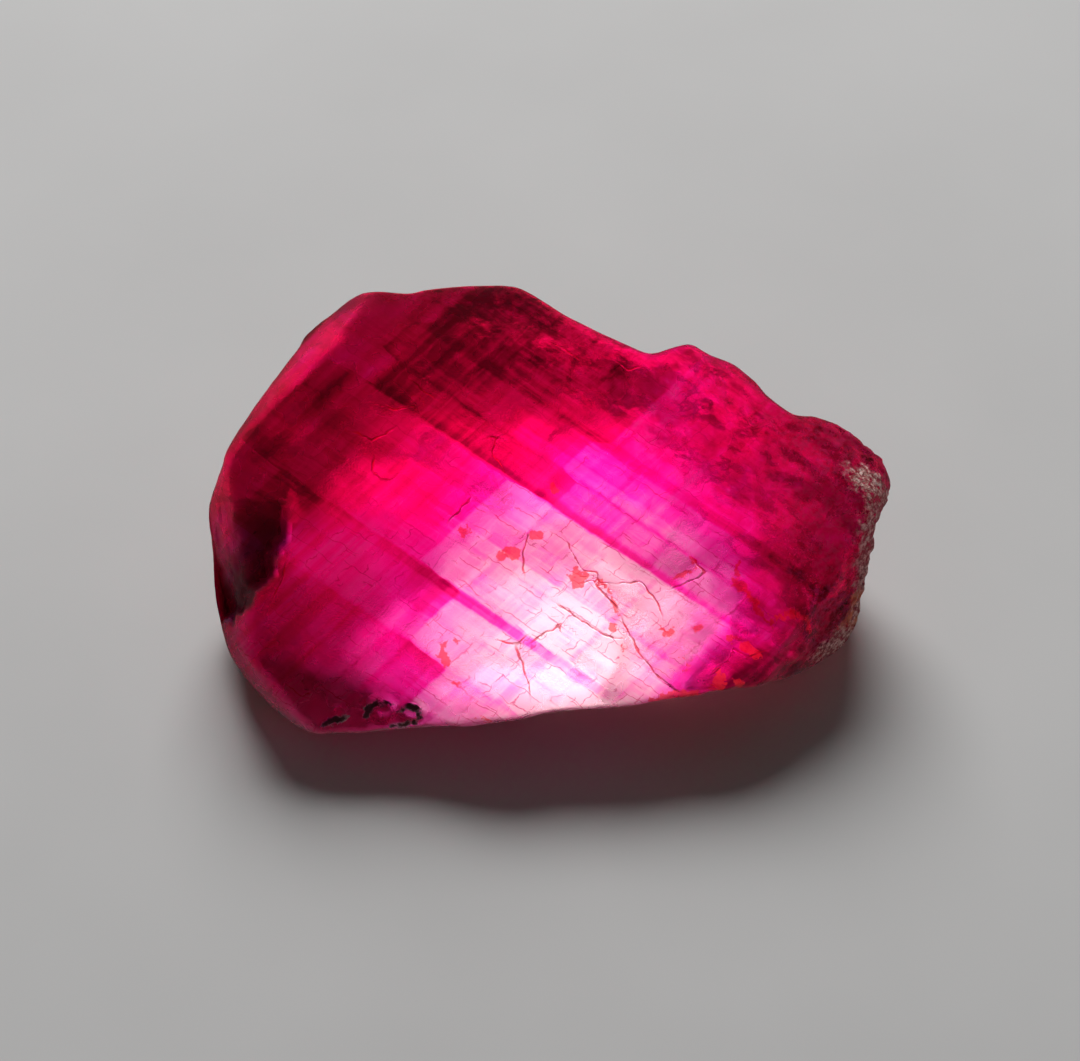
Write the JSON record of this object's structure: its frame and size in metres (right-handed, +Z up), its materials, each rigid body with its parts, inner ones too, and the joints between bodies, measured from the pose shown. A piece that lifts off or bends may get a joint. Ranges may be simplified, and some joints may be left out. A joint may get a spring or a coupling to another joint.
{
  "type": "raw ruby crystal",
  "caption": "Raw ruby crystal, a broken and water-worn stone that lies on a flat parting face, with a smooth broad side, a chipped hollow and a rough rind at one end.",
  "frame": {"origin": "on the flat base facet's plane, under the middle of the bounding box", "axes": "+X along the stone's length, towards the end with the rind; +Z up, from the base facet; -Y is the side that the smooth broad face leans towards, 38 degrees from level"},
  "size_m": [0.0478, 0.0292, 0.0213],
  "materials": {
    "ruby": "natural water-worn crystal skin, translucent deep red, satin broad face, matt broken side, pale brown granular rind on the right end"
  },
  "bodies": {
    "root": {"ruby_crystal": "ruby"}
  },
  "joints": []
}
